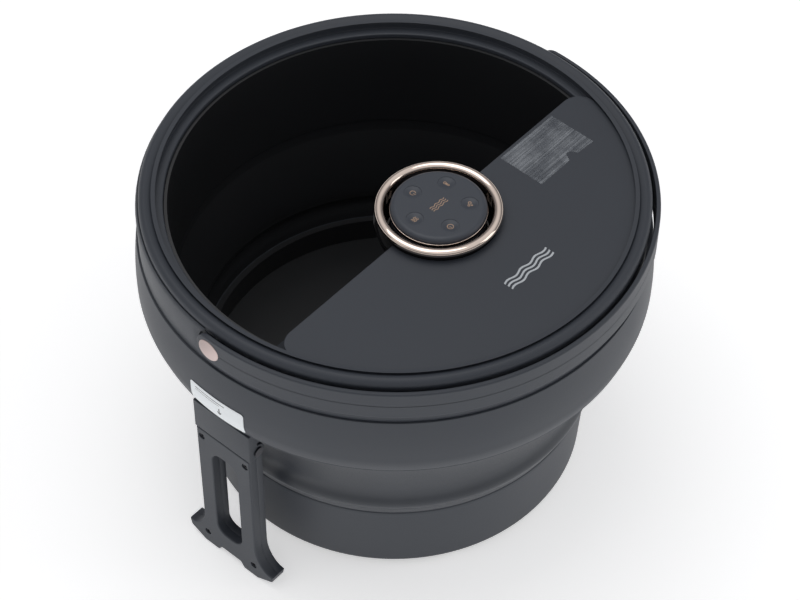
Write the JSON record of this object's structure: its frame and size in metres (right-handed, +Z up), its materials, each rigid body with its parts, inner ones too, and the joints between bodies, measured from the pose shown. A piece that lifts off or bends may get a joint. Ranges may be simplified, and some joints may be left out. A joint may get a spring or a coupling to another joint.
{
  "type": "pedicure foot bath",
  "caption": "Round folding foot bath on two legs, with a carrying handle, a half lid and a round remote set in a metal ring.",
  "frame": {"origin": "on the floor under the centre of the round tub", "axes": "+Z up; X along the handle's pivot axis, with a leg at each end; the half lid and the resting handle are on the -Y side and the open side is +Y"},
  "size_m": [0.4354, 0.435, 0.3098],
  "materials": {
    "shell": "slate grey soft-touch moulding",
    "inner_plastic": "dark grey moulding inside the tub",
    "bellows_rubber": "slate grey silicone",
    "black_rubber": "black rubber",
    "black_plastic": "glossy black",
    "rose_gold": "polished rose gold plating",
    "rose_gold_brushed": "brushed rose gold",
    "steel": "satin steel",
    "circuit": "printed circuit board",
    "label": "white sticker",
    "mark": "light grey print",
    "film": "clear protective film"
  },
  "bodies": {
    "ring": {"rim_ring": "shell", "upper_shell": "shell", "skirt_shell": "shell", "inner_liner": "inner_plastic", "bellows": "bellows_rubber", "bellows_clamp": "black_rubber", "hinge_block_left": "shell", "hinge_block_right": "shell", "leg_pins": "steel", "handle_pivots": "steel", "rating_label": "label", "ring_screws": "steel"},
    "handle": {"handle_band": "shell", "handle_cap_left": "rose_gold_brushed", "handle_cap_right": "rose_gold_brushed"},
    "leg_left": {"leg_panel_left": "shell", "leg_back_left": "shell", "leg_screws_left": "steel", "leg_pads_left": "black_rubber"},
    "leg_right": {"leg_panel_right": "shell", "leg_back_right": "shell", "leg_screws_right": "steel", "leg_pads_right": "black_rubber"},
    "base": {"base_shell": "shell", "base_collar": "shell", "basin_pan": "inner_plastic", "base_bottom": "inner_plastic", "base_feet": "black_rubber", "base_screws": "steel", "heater_plate": "steel", "water_sensor": "steel", "air_pump": "black_plastic", "air_tube": "inner_plastic", "bubble_bar": "shell", "control_board": "circuit", "power_board": "circuit", "power_inlet": "black_plastic", "roller_cradle_left": "shell", "roller_cradle_right": "shell", "roller_axles": "steel"},
    "lid": {"lid_panel": "shell", "lid_cup": "black_plastic", "cup_ring": "rose_gold", "remote_rest": "inner_plastic", "lid_mark": "mark", "lid_film": "film"},
    "remote": {"remote_body": "shell", "remote_band": "rose_gold", "remote_face": "shell", "remote_board": "circuit", "remote_battery": "steel"},
    "roller_1": {"roller_1": "shell"},
    "roller_2": {"roller_2": "shell"},
    "roller_3": {"roller_3": "shell"},
    "roller_4": {"roller_4": "shell"},
    "key_power": {"key_power": "shell"},
    "key_heat": {"key_heat": "shell"},
    "key_bubbles": {"key_bubbles": "shell"},
    "key_time": {"key_time": "shell"},
    "key_massage": {"key_massage": "shell"}
  },
  "joints": [
    {"name": "base_lift", "type": "slide", "parent": "ring", "child": "base", "axis": [0, 0, 1], "range_m": [0, 0.164], "deforming": ["bellows"]},
    {"name": "leg_left_fold", "type": "hinge", "parent": "ring", "child": "leg_left", "pos_m": [-0.2035, 0, 0.17], "axis": [0, -1, 0], "range_deg": [0, 38.5]},
    {"name": "leg_right_fold", "type": "hinge", "parent": "ring", "child": "leg_right", "pos_m": [0.2035, 0, 0.17], "axis": [0, 1, 0], "range_deg": [0, 38.5]},
    {"name": "handle_swing", "type": "hinge", "parent": "ring", "child": "handle", "pos_m": [0, 0.0035, 0.282], "axis": [-1, 0, 0], "range_deg": [0, 180]},
    {"name": "lid_lift", "type": "slide", "parent": "ring", "child": "lid", "axis": [0, 0, 1], "range_m": [0, 0.1]},
    {"name": "remote_lift", "type": "slide", "parent": "lid", "child": "remote", "axis": [0, 0, 1], "range_m": [0, 0.05]},
    {"name": "key_power_press", "type": "slide", "parent": "remote", "child": "key_power", "axis": [0, 0, -1], "range_m": [0, 0.0006], "stiffness_N_per_m": 600, "springref_m": -0.0002},
    {"name": "key_heat_press", "type": "slide", "parent": "remote", "child": "key_heat", "axis": [0, 0, -1], "range_m": [0, 0.0006], "stiffness_N_per_m": 600, "springref_m": -0.0002},
    {"name": "key_bubbles_press", "type": "slide", "parent": "remote", "child": "key_bubbles", "axis": [0, 0, -1], "range_m": [0, 0.0006], "stiffness_N_per_m": 600, "springref_m": -0.0002},
    {"name": "key_time_press", "type": "slide", "parent": "remote", "child": "key_time", "axis": [0, 0, -1], "range_m": [0, 0.0006], "stiffness_N_per_m": 600, "springref_m": -0.0002},
    {"name": "key_massage_press", "type": "slide", "parent": "remote", "child": "key_massage", "axis": [0, 0, -1], "range_m": [0, 0.0006], "stiffness_N_per_m": 600, "springref_m": -0.0002},
    {"name": "roller_1_spin", "type": "hinge", "parent": "base", "child": "roller_1", "pos_m": [-0.062, -0.042, 0.0742], "axis": [1, 0, 0], "continuous": true},
    {"name": "roller_2_spin", "type": "hinge", "parent": "base", "child": "roller_2", "pos_m": [-0.062, 0.042, 0.0742], "axis": [1, 0, 0], "continuous": true},
    {"name": "roller_3_spin", "type": "hinge", "parent": "base", "child": "roller_3", "pos_m": [0.062, -0.042, 0.0742], "axis": [1, 0, 0], "continuous": true},
    {"name": "roller_4_spin", "type": "hinge", "parent": "base", "child": "roller_4", "pos_m": [0.062, 0.042, 0.0742], "axis": [1, 0, 0], "continuous": true}
  ],
  "couplings": [
    {"joint": "leg_left_fold", "follows": "base_lift", "rad_per_m": 4.0441},
    {"joint": "leg_right_fold", "follows": "base_lift", "rad_per_m": 4.0441}
  ]
}
